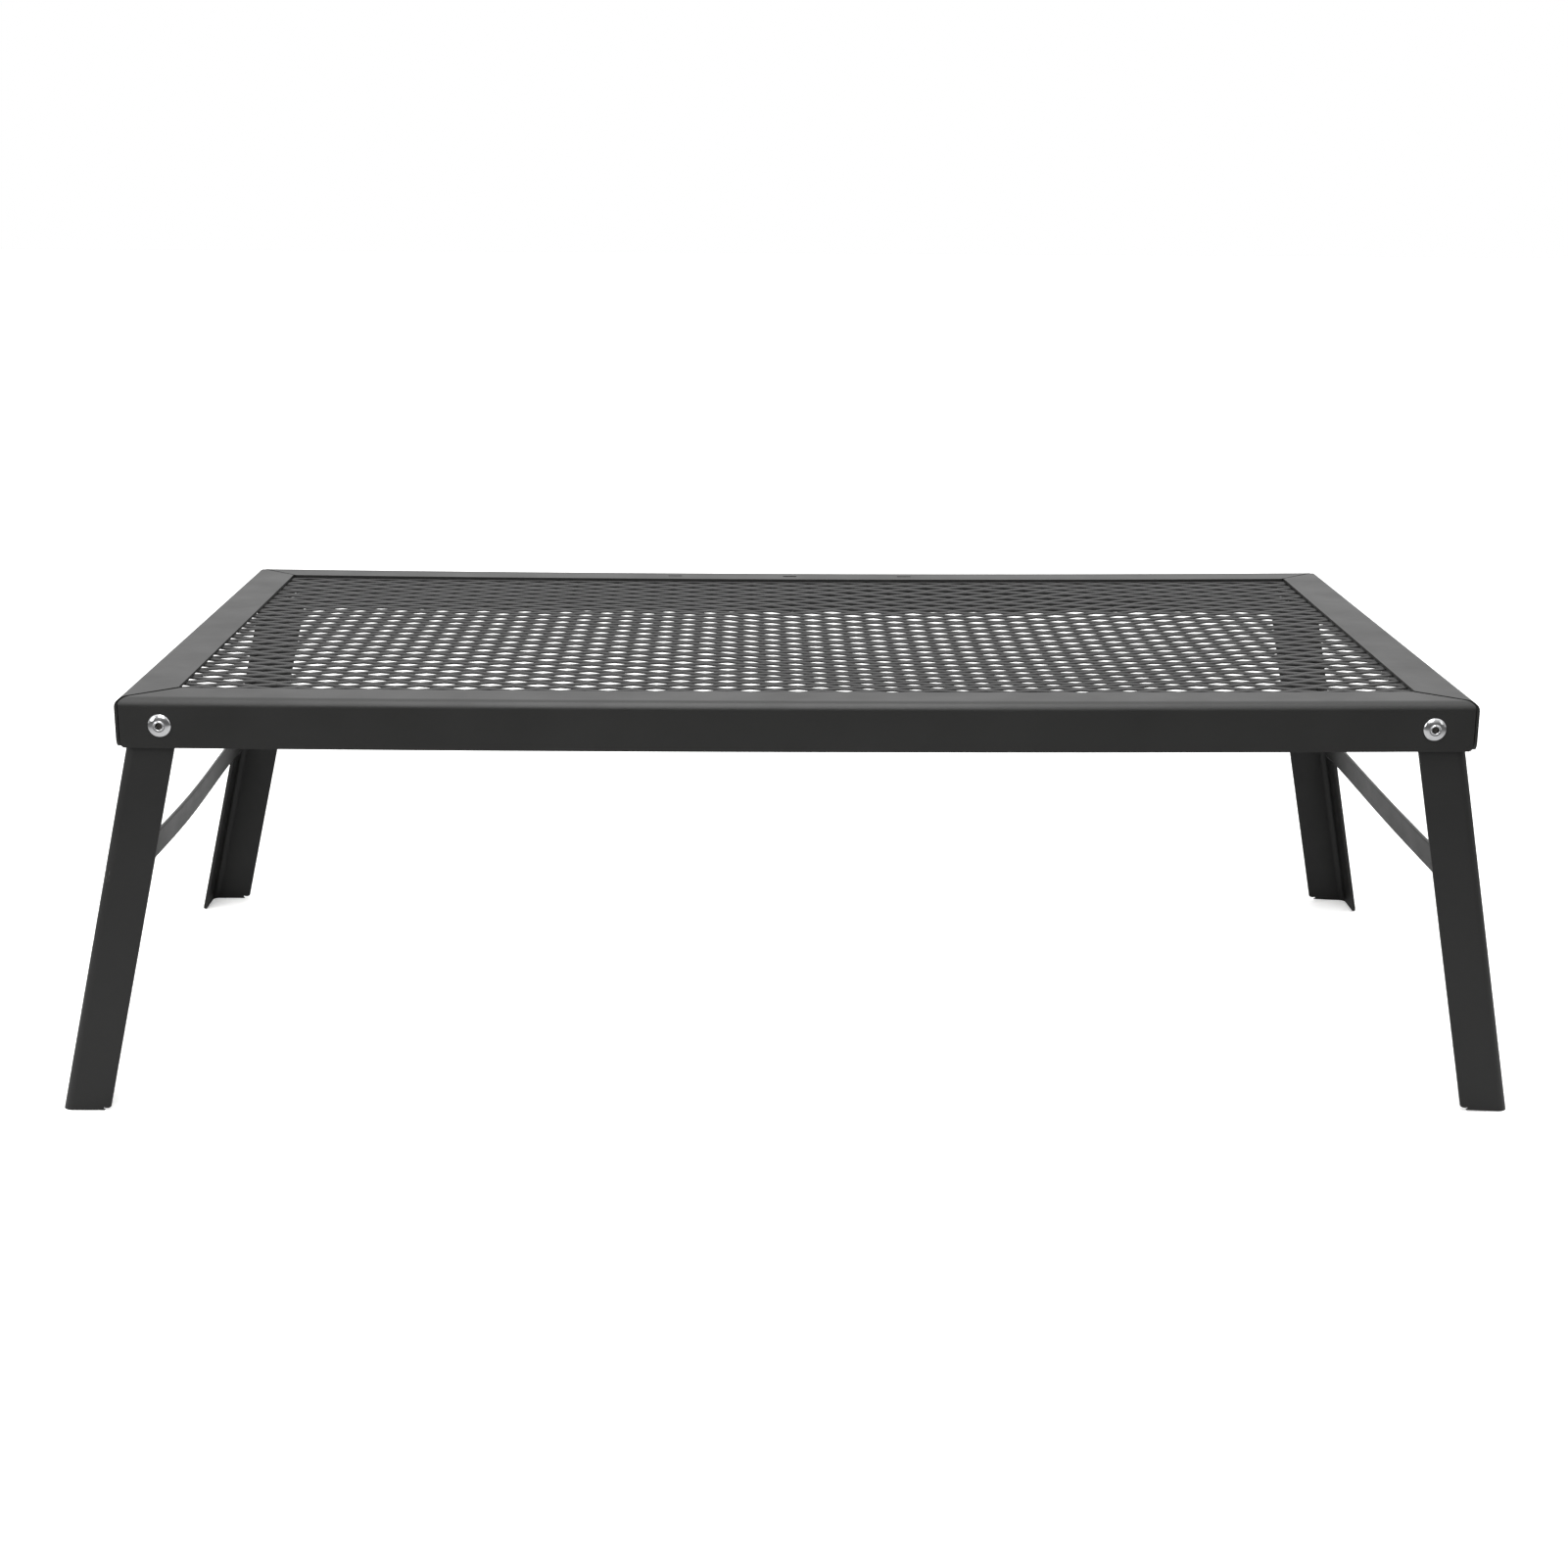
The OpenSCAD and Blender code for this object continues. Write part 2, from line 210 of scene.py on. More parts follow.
LEG_RUBS = [((-0.2905, -0.1478, 0.107), (0.004, 0.01, 0.008)),
            ((0.303, -0.1478, 0.089), (0.0035, 0.01, 0.012))]
rail_coat = powder_coat("polyester_coat_on_rails", "#191918", "#1e1e1d", 0.42)
leg_coat = powder_coat("polyester_coat_on_legs", "#181818", "#1d1d1c", 0.42, rubs=LEG_RUBS)
strip_coat = powder_coat("polyester_coat_on_strips", "#1a1a19", "#201f1e", 0.36)
mesh_coat = powder_coat("polyester_coat_on_mesh", "#1a1a1a", "#201f1f", 0.52, peel_depth=0.008)
# An edge's coat is smoother, and its paler colour is a painted highlight: the thin line of light that a rounded
# edge catches.
edge_highlight_coat = powder_coat("edge_coat_with_painted_highlight", "#262625", "#2f2e2c", 0.34, peel_depth=0.005)
# Over a weld bead the coat follows spatter and ripples about 0.8 mm apart.
bead_coat = powder_coat("coat_over_welds", "#191919", "#201f1f", 0.4, 0.8, 0.05)
print("powder coats:", [m.name for m in bpy.data.materials if "coat" in m.name])

# %% [markdown]
# ## Bare metals
# The rivets are drawn aluminium wire headed in a polished die: bright, with a faint
# ring pattern left by the die. Their steel stems are pulled until they snap, which
# leaves a grey, torn end. The washers are stamped steel under zinc, whose crystals
# give a patchy grey about 2 mm across. Metals keep the default IOR, and their own
# colour is the colour of their reflections.

# %% Aluminium, snapped steel and zinc
def bare_metal(name, tone, deep_tone, rough_low, rough_high, grain_mm, relief_mm, patches=False):
    material, tree, place = new_material(name)
    if patches:
        grain = node(tree, "TexVoronoi", {"Vector": place}, {"Scale": 1 / (grain_mm * MM)})
        level = node(tree, "SeparateColor", {"Color": grain.outputs["Color"]}).outputs["Green"]
    else:
        grain = node(tree, "TexNoise", {"Vector": place},
                     {"Scale": 1 / (grain_mm * MM), "Detail": 5})
        level = grain.outputs["Fac"]
    tint = node(tree, "Mix", {0: level}, {MIX_A: colour(tone), MIX_B: colour(deep_tone)},
                data_type="RGBA")
    finish = node(tree, "MapRange", {"Value": level},
                  {"From Min": 0.25, "From Max": 0.75, "To Min": rough_low, "To Max": rough_high})
    relief = node(tree, "Bump", {"Height": level}, {"Strength": 1.0, "Distance": relief_mm * MM})
    metal = node(tree, "BsdfPrincipled",
                 {"Base Color": tint.outputs[MIXED], "Roughness": finish.outputs["Result"],
                  "Normal": relief.outputs["Normal"]}, {"Metallic": 1.0})
    node(tree, "OutputMaterial", {"Surface": metal.outputs["BSDF"]})
    return material


rivet_aluminium = bare_metal("headed_aluminium", "#ececed", "#c9cacc", 0.09, 0.17, 0.8, 0.006)
stem_steel = bare_metal("snapped_steel", "#5a5855", "#2f2e2c", 0.35, 0.6, 0.35, 0.06)
washer_zinc = bare_metal("zinc_plated_steel", "#b9bcbf", "#9da1a5", 0.28, 0.42, 1.8, 0.003, True)
print("metals:", rivet_aluminium.name, stem_steel.name, washer_zinc.name)

# %% [markdown]
# ## Finishing a piece
# Each piece rides on the CAD body it belongs to and stands for its CAD node. Doing
# the two together in one place means neither is forgotten.

# %% Hand a piece over to the frame
record = frame["record"]
body_of_node = {n: body for body, names in record["behaviour"]["bodies"].items() for n in names}


def coat(piece, *materials):
    """Gives a piece these materials, in place of any it has."""
    piece.data.materials.clear()
    for material in materials:
        piece.data.materials.append(material)


def hand_over(piece, node_name):
    """Names a finished piece and attaches it in place of its CAD node."""
    piece.name = piece.data.name = node_name + "_finished"
    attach(piece, body_of_node[node_name])
    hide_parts(node_name)


# %% [markdown]
# ## Rails and legs
# On the real table these are strips of sheet, sheared to length, holed and bent over a
# die, so every cut edge is square until the coat rounds it. They could be modelled
# again from planes, but the CAD nodes already hold the true bends, mitres and holes.
# So each is a copy of its node: its loose triangles are merged, the flat ones are
# dissolved into whole faces, and every sharp edge gets a small bevel, which catches
# the thin line of light that a coated sheet edge shows. The bevel takes the second
# material, whose paler colour adds a painted highlight along the edge. The long rails
# hang a little in the middle, which proportional editing gives as one even curve.

# %% Copies of the CAD nodes with rounded edges
def merged_copy(node_name):
    """A new object with a CAD node's mesh, merged, with its flat triangles dissolved."""
    piece = bpy.data.objects.new(node_name + "_copy", cad_nodes[node_name].data.copy())
    bpy.context.scene.collection.objects.link(piece)
    open_mesh(piece)
    bpy.ops.mesh.customdata_custom_splitnormals_clear()
    bpy.ops.mesh.remove_doubles(threshold=0.002 * MM)
    bpy.ops.mesh.dissolve_limited(angle_limit=radians(1.5))
    close_mesh()
    return piece


def round_edges(piece, width_mm, sharper_than=40):
    """Bevels the sharp edges in the second material and evens out the shading."""
    apply_modifier(piece, "BEVEL", width=width_mm * MM, segments=2, limit_method="ANGLE",
                   angle_limit=radians(sharper_than), material=1)
    smooth(piece, sharper_than)
    apply_modifier(piece, "WEIGHTED_NORMAL", keep_sharp=True)


def cut_across(piece, places, normal):
    """Cuts a mesh by parallel planes, without removing anything."""
    for place in places:
        open_mesh(piece)
        bpy.ops.mesh.bisect(plane_co=place, plane_no=normal, threshold=HAIR)
        close_mesh()


def push_middle(piece, wanted, shift, reach, falloff):
    """Moves the wanted points and, more and more weakly, those within reach."""
    open_mesh(piece)
    pick_points(piece, wanted)
    bpy.ops.transform.translate(value=shift, use_proportional_edit=True,
                                proportional_edit_falloff=falloff, proportional_size=reach)
    close_mesh()


SAG = {"front_rail": 1.1 * MM, "rear_rail": 1.5 * MM}     # the welded mesh pulls them down
RAIL_HALF = 280 * MM
RAILS = ["front_rail", "rear_rail", "left_rail", "right_rail"]
LEGS = ["front_left_leg", "rear_left_leg", "front_right_leg", "rear_right_leg"]
for names, material in ((RAILS, rail_coat), (LEGS, leg_coat)):
    for name in names:
        piece = merged_copy(name)
        # the second material's paler colour is a painted highlight on the bevelled edges
        coat(piece, material, edge_highlight_coat)
        if name in SAG:
            cut_across(piece, [(i * 40 * MM, 0, 0) for i in range(-6, 7)], (1, 0, 0))
            push_middle(piece, lambda p: abs(p.x) < 1 * MM, (0, 0, -SAG[name]), RAIL_HALF,
                        "INVERSE_SQUARE")
        round_edges(piece, 0.15 if name in RAILS else 0.3)
        hand_over(piece, name)
        print(name, len(piece.data.polygons), "faces")

# %% [markdown]
# ## The strips
# Each pair of legs is tied by a flat strip, welded to the side flanges' inner faces.
# Such strip is cut from coil, so its edges are rolled round and it keeps a slight bow.
# The copy is cut across in even steps, its middle is pushed over with the soft falloff
# of proportional editing, and its edges are rounded more than the sheet's.

# %% Bowed strips
STRIP_BOW = {"left_crossbar": (1.8 * MM, 0, -0.6 * MM),
             "right_crossbar": (-0.6 * MM, 0, -0.2 * MM)}
STRIP_REACH = 118 * MM
for name, shift in STRIP_BOW.items():
    piece = merged_copy(name)
    # the second material's paler colour is a painted highlight on the strip's rounded edges
    coat(piece, strip_coat, edge_highlight_coat)
    cut_across(piece, [(0, i * 20 * MM, 0) for i in range(-6, 7)], (0, 1, 0))
    push_middle(piece, lambda p: abs(p.y) < 1 * MM, shift, STRIP_REACH, "SMOOTH")
    round_edges(piece, 0.6, 60)
    hand_over(piece, name)
    low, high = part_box(name)
    print(name, "bowed; the flat one is", [round((h - l) / MM, 1) for l, h in zip(low, high)], "mm")

# %% [markdown]
# ## The expanded-metal mesh
# Expanded metal is slit and stretched from one sheet, then rolled flat again. Each
# opening is a lozenge 20 mm by 12 mm from middle to middle; the strands between them
# are 3 mm wide, run together at the bonds, and bow a very little from bond to bond.
# One quarter of a cell holds one strand, so that quarter is all there is to
# model: a plane is cut by two bisects to a six-sided strand, cut twice more across, and
# its inner points shifted for the bow. Two mirrors make the cell, two arrays make the
# net, and four more bisects trim it to the panel. Then the faces are inset and lifted
# for the upper half of a rounded strand, and a last mirror makes the lower half, which
# keeps a shape that is repeated thousands of times down to a few faces.

# %% One strand, a quarter of a cell
panel_low, panel_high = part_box("mesh_panel")
PITCH_X, PITCH_Y = 20 * MM, 12 * MM
HALF_LONG, HALF_WIDE = 8.9 * MM, 3.25 * MM      # of one opening, inside its coat
BOW = -0.08 * MM                   # of a strand, one way and then the other
MESH_THICK = panel_high.z - panel_low.z

bpy.ops.object.select_all(action="DESELECT")
bpy.ops.mesh.primitive_plane_add(size=1, location=(0, 0, 0))
net = bpy.context.object
open_mesh(net)
bpy.ops.transform.resize(value=(PITCH_X / 2, PITCH_Y / 2, 1), center_override=(0.5, 0.5, 0))
bpy.ops.transform.translate(value=(-0.5 + PITCH_X / 2, -0.5 + PITCH_Y / 2, 0))
slant = Vector((HALF_WIDE, HALF_LONG, 0)).normalized()
bpy.ops.mesh.bisect(plane_co=(HALF_LONG, 0, 0), plane_no=slant, clear_inner=True,
                    threshold=HAIR)
bpy.ops.mesh.select_all(action="SELECT")
bpy.ops.mesh.bisect(plane_co=(PITCH_X / 2 - HALF_LONG, PITCH_Y / 2, 0), plane_no=slant,
                    clear_outer=True, threshold=HAIR)
close_mesh()
cut_across(net, [(PITCH_X * t, 0, 0) for t in (1 / 6, 2 / 6)], (1, 0, 0))
for t, way in ((1 / 6, 1), (2 / 6, -1)):
    open_mesh(net)
    pick_points(net, lambda p: abs(p.x - PITCH_X * t) < 0.05 * MM)
    bpy.ops.transform.translate(value=(0, way * BOW, 0))
    close_mesh()
print("quarter cell:", [tuple(round(c / MM, 2) for c in p.co[:2]) for p in net.data.vertices])

# %% The whole net, trimmed to the panel
apply_modifier(net, "MIRROR", use_axis=(True, True, False), merge_threshold=0.01 * MM)
columns = 2 * int((panel_high.x - panel_low.x) / PITCH_X / 2) + 3
rows = 2 * int((panel_high.y - panel_low.y) / PITCH_Y / 2) + 3
for count, step in ((columns, (PITCH_X, 0, 0)), (rows, (0, PITCH_Y, 0))):
    apply_modifier(net, "ARRAY", count=count, use_relative_offset=False,
                   use_constant_offset=True, constant_offset_displace=step,
                   use_merge_vertices=True, merge_threshold=0.01 * MM)
open_mesh(net)
bpy.ops.transform.translate(value=(-PITCH_X * (columns - 1) / 2, -PITCH_Y * (rows - 1) / 2, 0))
for corner, normal in ((panel_low, (-1, 0, 0)), (panel_low, (0, -1, 0)),
                       (panel_high, (1, 0, 0)), (panel_high, (0, 1, 0))):
    bpy.ops.mesh.select_all(action="SELECT")
    bpy.ops.mesh.bisect(plane_co=(corner.x, corner.y, 0), plane_no=normal, clear_outer=True,
                        threshold=HAIR)
close_mesh()
print("net:", columns, "x", rows, "cells,", len(net.data.polygons), "faces")

# %% Rounded strands
EDGE_WIDE = 0.36 * MM              # from a strand's rim to its flat top
open_mesh(net, "FACE")
bpy.ops.mesh.inset(thickness=EDGE_WIDE, use_boundary=True, use_even_offset=True)
bpy.ops.transform.translate(value=(0, 0, MESH_THICK / 2))
close_mesh()
apply_modifier(net, "MIRROR", use_axis=(False, False, True), merge_threshold=0.005 * MM)
face_outwards(net)
open_mesh(net)
bpy.ops.transform.translate(value=(0, 0, (panel_low.z + panel_high.z) / 2))
close_mesh()

# %% [markdown]
# A sheet this thin never lies flat. The rollers and the welds leave it crowned at the
# left and sunk a few millimetres right of the middle, which shows as openings that
# gape in one place and close up in another. Proportional editing gives such soft
# swells: the points round a middle are lifted or pressed, and the rest follow. The two
# long edges go down first, as far as the rails they are welded to, so that the sheet
# stays under the flanges.

# %% Swells in the mesh
SWELLS = (((-0.130, -0.005), 0.112, 1.5), ((0.085, -0.01), 0.120, -3.4))   # m, m, mm
for name, edge in (("front_rail", panel_low.y), ("rear_rail", panel_high.y)):
    push_middle(net, lambda p: abs(p.x) < 10 * MM and abs(p.y - edge) < 10 * MM,
                (0, 0, -SAG[name]), RAIL_HALF, "INVERSE_SQUARE")
for middle, reach, lift in SWELLS:
    centre = Vector((*middle, panel_high.z))
    push_middle(net, lambda p: (p.xy - centre.xy).length < 8 * MM, (0, 0, lift * MM), reach,
                "INVERSE_SQUARE")
net_top = max(p.co.z for p in net.data.vertices)
print("mesh:", len(net.data.polygons), "faces, top at", round(net_top / MM, 2), "mm")
smooth(net, 80)                    # right round, since the coat leaves no flats on a strand
coat(net, mesh_coat)
hand_over(net, "mesh_panel")

# %% [markdown]
# ## Weld beads
# The panel is tacked under the flanges, the rails are joined inside the corners and
# under the mitres, and the strips are welded to the legs. A bead is a quarter of a
# round rod that fills the corner between two sheets, laid in overlapping drops. It is
# modelled once for each length: a cylinder is bisected to its quarter, cut into rings,
# and every second ring is drawn in. Copies are turned into their corners and joined.

# %% One bead, and a copy in each corner
DROP_STEP = 1.2 * MM
END_SIZE, WAIST_SIZE = 0.55, 0.84  # of a bead's radius, at its ends and between drops


def make_bead(length, radius):
    """A rippled quarter-round bead in the +x +y corner of the Z axis, middle at the origin."""
    bpy.ops.object.select_all(action="DESELECT")
    bpy.ops.mesh.primitive_cylinder_add(vertices=16, radius=radius, depth=length)
    bead = bpy.context.object
    for normal in ((1, 0, 0), (0, 1, 0)):
        open_mesh(bead)
        bpy.ops.mesh.bisect(plane_co=(0, 0, 0), plane_no=normal, clear_inner=True,
                            use_fill=True, threshold=HAIR)
        close_mesh()
    rings = 2 * round(length / DROP_STEP)
    heights = [length * (i / rings - 0.5) for i in range(rings + 1)]
    cut_across(bead, [(0, 0, z) for z in heights[1:-1]], (0, 0, 1))
    for i, z in enumerate(heights):
        size = END_SIZE if i in (0, rings) else WAIST_SIZE if i % 2 == 0 else 1.0
        open_mesh(bead)
        pick_points(bead, lambda p: abs(p.z - z) < 0.05 * MM)
        bpy.ops.transform.resize(value=(size, size, 1), center_override=(0, 0, z))
        close_mesh()
    face_outwards(bead)
    smooth(bead, 50)
    coat(bead, bead_coat)
    return bead


def lay_beads(seams, node_name):
    """Copies beads into corners, each a place and the two ways in which its metal lies."""
    copies = []
    for bead, (place, one_way, other_way) in seams:
        one_way, other_way = Vector(one_way), Vector(other_way)
        turned = Matrix((one_way, other_way, one_way.cross(other_way))).transposed().to_4x4()
        copy = bpy.data.objects.new("bead", bead.data.copy())
        bpy.context.scene.collection.objects.link(copy)
        copy.matrix_world = Matrix.Translation(place) @ turned
        pick(copy)
        bpy.ops.object.transform_apply()
        copies.append(copy)
    bpy.ops.object.select_all(action="DESELECT")
    for copy in copies:
        copy.select_set(True)
    bpy.context.view_layer.objects.active = copies[0]
    bpy.ops.object.join()
    for bead in {bead for bead, _ in seams}:
        bpy.data.objects.remove(bead)
    hand_over(copies[0], node_name)
    print(node_name, len(seams), "beads")


BEAD_RADIUS, TACK_LENGTH, TACK_STEP = 2 * MM, 7 * MM, 60 * MM
down = (0, 0, -1)
under = panel_high.z - 0.02 * MM
tacks = []
for y, way in ((panel_low.y, -1), (panel_high.y, 1)):
    tacks += [((i * TACK_STEP, y, under), (0, way, 0), down) for i in range(-4, 5)]
for x, way in ((panel_low.x, -1), (panel_high.x, 1)):
    tacks += [((x, i * TACK_STEP, under), (way, 0, 0), down) for i in range(-2, 3)]
tack_bead = make_bead(TACK_LENGTH, BEAD_RADIUS)
lay_beads([(tack_bead, tack) for tack in tacks], "mesh_welds")

MITRE_X, MITRE_Y = 266.3 * MM, 138.2 * MM     # the middle of a mitre's line
mitre_bead = make_bead(21 * MM, 1.8 * MM)
weld_low, weld_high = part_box("corner_welds")
middle_z = (weld_low.z + weld_high.z) / 2
upright_bead = make_bead(weld_high.z - weld_low.z, BEAD_RADIUS)
seams = []
for x, out_x in ((weld_low.x, -1), (weld_high.x, 1)):
    for y, out_y in ((weld_low.y, -1), (weld_high.y, 1)):
        seams.append((upright_bead, ((x, y, middle_z), (-out_x, 0, 0), (0, -out_y, 0))))
        # two more back to back under the mitre, which is why its open line looks dark
        middle = (out_x * MITRE_X, out_y * MITRE_Y, under)
        for way in (1, -1):
            across = Vector((way * out_y, -way * out_x, 0)).normalized()
            seams.append((mitre_bead, (middle, across, down)))
lay_beads(seams, "corner_welds")

# %% [markdown]
# The strips' beads lean with the legs, so their corners are worked out upright, beside
# the pivot, and turned about it by the lean.

# %% Beads on the strips
hinges = {joint["child"]: joint for joint in frame["joints"]}
PIVOT_X, _, PIVOT_Z = hinges["right_legs"]["pos_m"]
SEAT = 11.4 * MM                   # from a pivot to the side flange's inner face
STRIP_DROP, STRIP_HALF = 81.5 * MM, 6.75 * MM     # a strip's middle below the pivot, half its width
STRIP_BEAD = 12 * MM
for side, name in ((-1, "left"), (1, "right")):
    lean = radians(hinges[name + "_legs"]["range_deg"][1] - 90)
    turned = Matrix.Rotation(-side * lean, 3, "Y")
    pivot = Vector((side * PIVOT_X, 0, PIVOT_Z))
    low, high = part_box(name + "_crossbar_welds")
    strip_bead = make_bead(STRIP_BEAD, BEAD_RADIUS)
    seams = []
    for y in (low.y + STRIP_BEAD / 2, high.y - STRIP_BEAD / 2):
        for edge in (-1, 1):
            place = Vector((side * SEAT, y, -STRIP_DROP + edge * STRIP_HALF))
            seams.append((strip_bead, (pivot + turned @ place, turned @ Vector((-side, 0, 0)),
                                       turned @ Vector((0, 0, edge)))))
    lay_beads(seams, name + "_crossbar_welds")

# %% [markdown]
# ## Rivets, stems and washers
# A blind rivet is a tube with a domed head. A steel stem is pulled through it until a
# bulb swells on the far side and the stem snaps just inside the head, so the head has
# a dark hole with a raised lip. All of them are round, so each is turned: a single
# point is extruded along half of its outline, and the outline is spun about the rivet's
# line. A cylinder with bevels would miss the dish between the dome and the lip, which
# is what gives the head its rings of light.

# %% Turn an outline about the front left rivet's line
FACE_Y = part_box("front_rail")[0].y


def turned_piece(outline, steps=56):
    """Spins an outline of (radius, depth behind the skirt's face) in mm to a closed shape."""
    points = [Vector((r * MM - PIVOT_X, FACE_Y + depth * MM, PIVOT_Z)) for r, depth in outline]
    bpy.ops.object.select_all(action="DESELECT")
    bpy.ops.mesh.primitive_plane_add(size=MM, location=(0, 0, 0))
    piece = bpy.context.object
    open_mesh(piece)
    bpy.ops.mesh.merge(type="CENTER")
    bpy.ops.transform.translate(value=points[0])
    for start, end in zip(points, points[1:]):
        bpy.ops.mesh.extrude_vertices_move(TRANSFORM_OT_translate={"value": end - start})
    bpy.ops.mesh.select_all(action="SELECT")
    bpy.ops.mesh.spin(steps=steps, angle=2 * pi, center=(-PIVOT_X, 0, PIVOT_Z), axis=(0, 1, 0))
    bpy.ops.mesh.select_all(action="SELECT")
    bpy.ops.mesh.remove_doubles(threshold=HAIR)
    close_mesh()
    face_outwards(piece)
    return piece


CORNERS = {
    "front_left": Matrix.Identity(4),
    "front_right": Matrix.Translation((2 * PIVOT_X, 0, 0)),
    "rear_right": Matrix.Rotation(pi, 4, "Z"),
    "rear_left": Matrix.Translation((-2 * PIVOT_X, 0, 0)) @ Matrix.Rotation(pi, 4, "Z"),
}


def copy_to_corners(piece, kind):
    """Sets a copy on each of the four rivet lines, turned to face inwards."""
    for corner, move in CORNERS.items():
        copy = bpy.data.objects.new("copy", piece.data.copy())
        bpy.context.scene.collection.objects.link(copy)
        copy.matrix_world = move
        pick(copy)
        bpy.ops.object.transform_apply()
        hand_over(copy, corner + "_" + kind)
    print(kind, "x 4,", len(piece.data.polygons), "faces each")
    bpy.data.objects.remove(piece)


# %% The rivets' bodies
rivet = turned_piece([
    (2.40, 0.00), (4.68, 0.00), (4.80, -0.10), (4.80, -0.34), (4.70, -0.50), (4.45, -0.70),
    (4.05, -0.92), (3.55, -1.13), (3.00, -1.31), (2.60, -1.40), (2.38, -1.42), (2.24, -1.36),
    (2.14, -1.34), (2.06, -1.42), (1.98, -1.58), (1.84, -1.68), (1.66, -1.68), (1.52, -1.58),
    (1.46, -1.40), (1.45, -0.90), (1.45, 2.00), (1.45, 9.60), (1.90, 9.68), (2.60, 9.40),
    (3.15, 8.60), (3.40, 7.40), (3.32, 6.20), (2.95, 5.30), (2.52, 4.82), (2.40, 4.70),
    (2.40, 0.00)])
smooth(rivet, 50)
coat(rivet, rivet_aluminium)
copy_to_corners(rivet, "rivet")

# %% [markdown]
# The stem snaps in tension, so its end is a shallow torn cup and not a flat disc. The
# points of the end are moved a little at random, from a fixed seed.

# %% The rivets' stems
stem = turned_piece([
    (0.00, -0.52), (0.35, -0.50), (0.70, -0.56), (1.00, -0.66), (1.22, -0.66), (1.36, -0.52),
    (1.40, -0.30), (1.40, 4.00), (1.40, 9.80), (1.75, 10.20), (2.02, 10.85), (2.10, 11.40),
    (2.00, 12.05), (1.70, 12.65), (1.20, 13.10), (0.62, 13.38), (0.00, 13.48)], 28)
open_mesh(stem)
pick_points(stem, lambda p: p.y < FACE_Y - 0.4 * MM)
bpy.ops.transform.vertex_random(offset=0.07 * MM, seed=5)
close_mesh()
smooth(stem, 40)
coat(stem, stem_steel)
copy_to_corners(stem, "stem")

# %% The washers on both sides of each leg
for kind in ("pivot_washer", "backing_washer"):
    near = (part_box("front_left_" + kind)[0].y - FACE_Y) / MM
    washer = turned_piece([(2.60, near), (4.62, near), (4.75, near + 0.13), (4.75, near + 0.67),
                           (4.62, near + 0.80), (2.60, near + 0.80), (2.48, near + 0.68),
                           (2.48, near + 0.12), (2.60, near)], 40)
    smooth(washer, 35)
    coat(washer, washer_zinc)
    copy_to_corners(washer, kind)

# %% [markdown]
# ## The studio
# The table stands on a white floor in a white room, which is how a matt black thing is
# lit: the black itself stays dark, and its form shows by what the satin coat mirrors.
# The room behind is bright, so surfaces seen at a low angle turn grey, and the side
# where the viewer stands is dimmer, so upright faces stay dark. A large soft lamp
# overhead draws the bright band along the rails' bends, and one at each side of the
# viewer, the left one stronger, gives every rivet its bright sector.

# %% Floor
bpy.ops.object.select_all(action="DESELECT")
bpy.ops.mesh.primitive_plane_add(size=14, location=(0, 0, 0))
floor = bpy.context.object
floor.name = "studio_floor"
paint, tree, place = new_material("white_floor_paint")
mottle = node(tree, "TexNoise", {"Vector": place}, {"Scale": 1 / 0.4, "Detail": 2})
white = node(tree, "Mix", {0: mottle.outputs["Fac"]},
             {MIX_A: colour("#f4f4f3"), MIX_B: colour("#f8f8f7")}, data_type="RGBA")
matt = node(tree, "BsdfPrincipled", {"Base Color": white.outputs[MIXED]},
            {"Roughness": 0.8, "IOR": 1.4, "Emission Color": (1, 1, 1, 1),
             "Emission Strength": 0.35})
# The coat would mirror so white a floor too strongly, so reflections meet a greyer one,
# which darkens away from the table as a sheet of paper does beyond its lamps' reach.
far_off = node(tree, "VectorMath", {0: place}, operation="LENGTH")
fading = node(tree, "MapRange", {"Value": far_off.outputs["Value"]},
              {"From Min": 0.3, "From Max": 1.1}, interpolation_type="SMOOTHSTEP")
paper = node(tree, "Mix", {0: fading.outputs["Result"]},
             {MIX_A: colour("#acacac"), MIX_B: colour("#5a5a5a")}, data_type="RGBA")
grey = node(tree, "BsdfDiffuse", {"Color": paper.outputs[MIXED]})
ray = node(tree, "LightPath")
either = node(tree, "MixShader", {0: ray.outputs["Is Camera Ray"], 1: grey.outputs["BSDF"],
                                  2: matt.outputs["BSDF"]})
node(tree, "OutputMaterial", {"Surface": either.outputs["Shader"]})
coat(floor, paint)

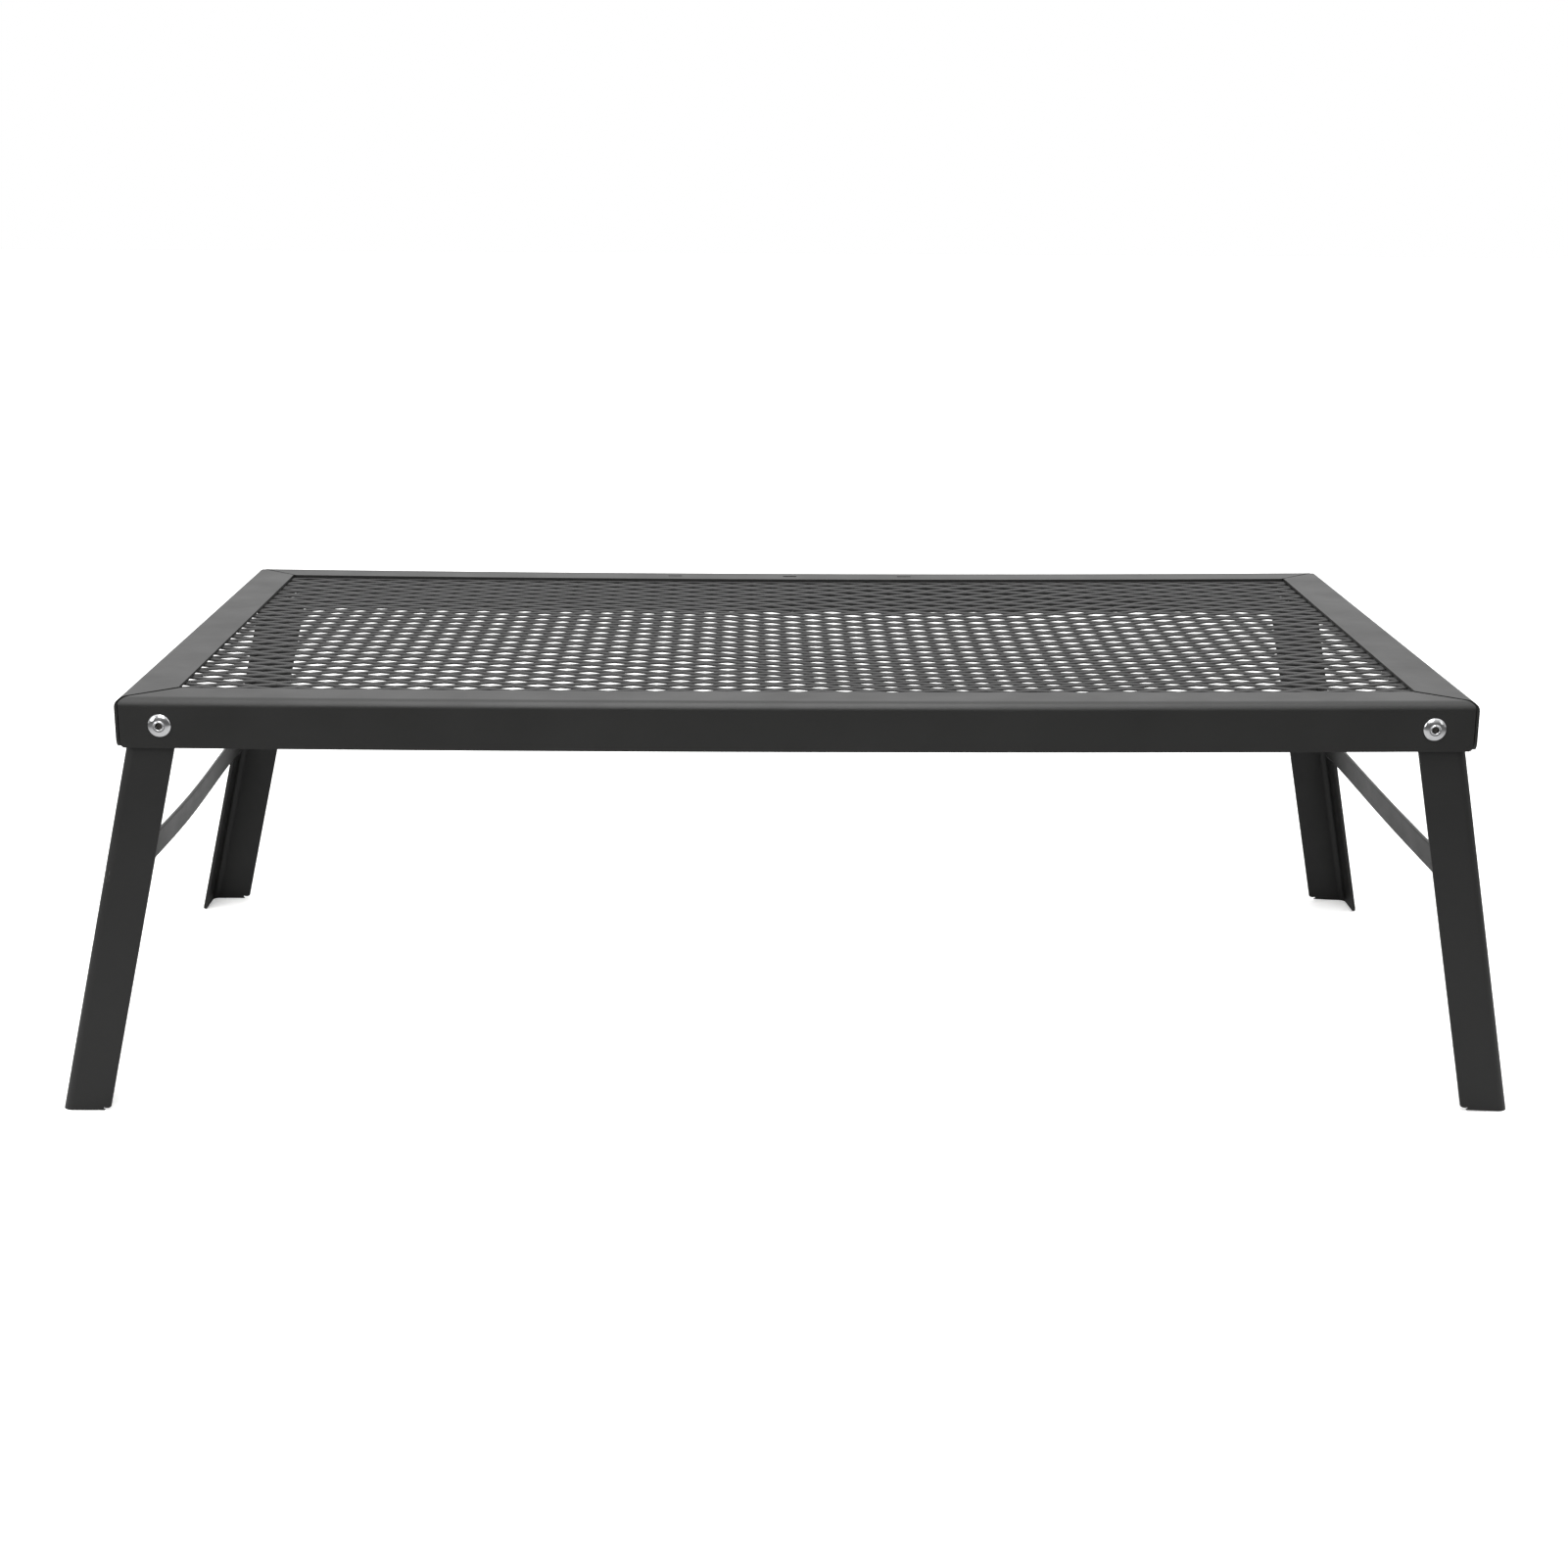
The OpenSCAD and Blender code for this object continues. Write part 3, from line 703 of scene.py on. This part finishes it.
# %% White room, dimmer on the viewer's side
scene = bpy.context.scene
room = bpy.data.worlds.new("white_room")
room.use_nodes = True
tree = room.node_tree
tree.nodes.clear()
direction = node(tree, "SeparateXYZ", {"Vector": node(tree, "TexCoord").outputs["Generated"]})
depthwise = node(tree, "MapRange", {"Value": direction.outputs["Y"]},
                 {"From Min": -0.75, "From Max": 0.15, "To Min": 0.135, "To Max": 0.88},
                 interpolation_type="SMOOTHSTEP")
upwards = node(tree, "MapRange", {"Value": direction.outputs["Z"]},
               {"From Min": 0.25, "From Max": 0.75, "To Min": 0.0, "To Max": 0.73})
glow = node(tree, "Math", {0: depthwise.outputs["Result"], 1: upwards.outputs["Result"]},
            operation="ADD")
dim = node(tree, "Background", {"Strength": glow.outputs["Value"]}, {"Color": (1, 1, 1, 1)})
plain = node(tree, "Background", None, {"Color": (1, 1, 1, 1), "Strength": 1.0})
seen = node(tree, "LightPath")
both = node(tree, "MixShader", {0: seen.outputs["Is Camera Ray"], 1: dim.outputs["Background"],
                                2: plain.outputs["Background"]})
node(tree, "OutputWorld", {"Surface": both.outputs["Shader"]})
scene.world = room
scene.view_settings.view_transform = "Standard"


# %% Lamps
def softbox(name, place, aim, size, watts):
    """A rectangular area lamp at a place, turned towards its aim."""
    lamp = bpy.data.lights.new(name, "AREA")
    lamp.shape, lamp.size, lamp.size_y, lamp.energy = "RECTANGLE", *size, watts
    holder = bpy.data.objects.new(name, lamp)
    holder.location = place
    holder.rotation_euler = (Vector(aim) - Vector(place)).to_track_quat("-Z", "Y").to_euler()
    scene.collection.objects.link(holder)


TOP_MIDDLE = (0, 0, 0.12)
softbox("left_softbox", (-1.7, -1.45, 0.95), TOP_MIDDLE, (0.7, 0.9), 12)
softbox("right_softbox", (1.8, -1.55, 0.95), TOP_MIDDLE, (0.6, 0.8), 1.6)
softbox("overhead_softbox", (-0.08, -0.85, 1.62), TOP_MIDDLE, (0.95, 2.1), 26)

# %% [markdown]
# ## The camera
# A short telephoto about 1.1 m in front of the table and 0.4 m up looks down on the
# top at a low angle, so that the mesh is seen edge on and both pairs of legs show.

# %% Camera
CAMERA_PLACE = (-0.0189, -1.1105, 0.4088)
YAW, PITCH, ROLL = radians(0.763), radians(15.28), radians(0.36)
lens = bpy.data.cameras.new("camera")
lens.sensor_width = 36
lens.lens = 55.33
lens.clip_start, lens.clip_end = 0.05, 40
camera = bpy.data.objects.new("camera", lens)
camera.matrix_world = (Matrix.Translation(CAMERA_PLACE)
                       @ Matrix.Rotation(-YAW, 4, "Z") @ Matrix.Rotation(pi / 2 - PITCH, 4, "X")
                       @ Matrix.Rotation(ROLL, 4, "Z"))
scene.collection.objects.link(camera)
scene.camera = camera
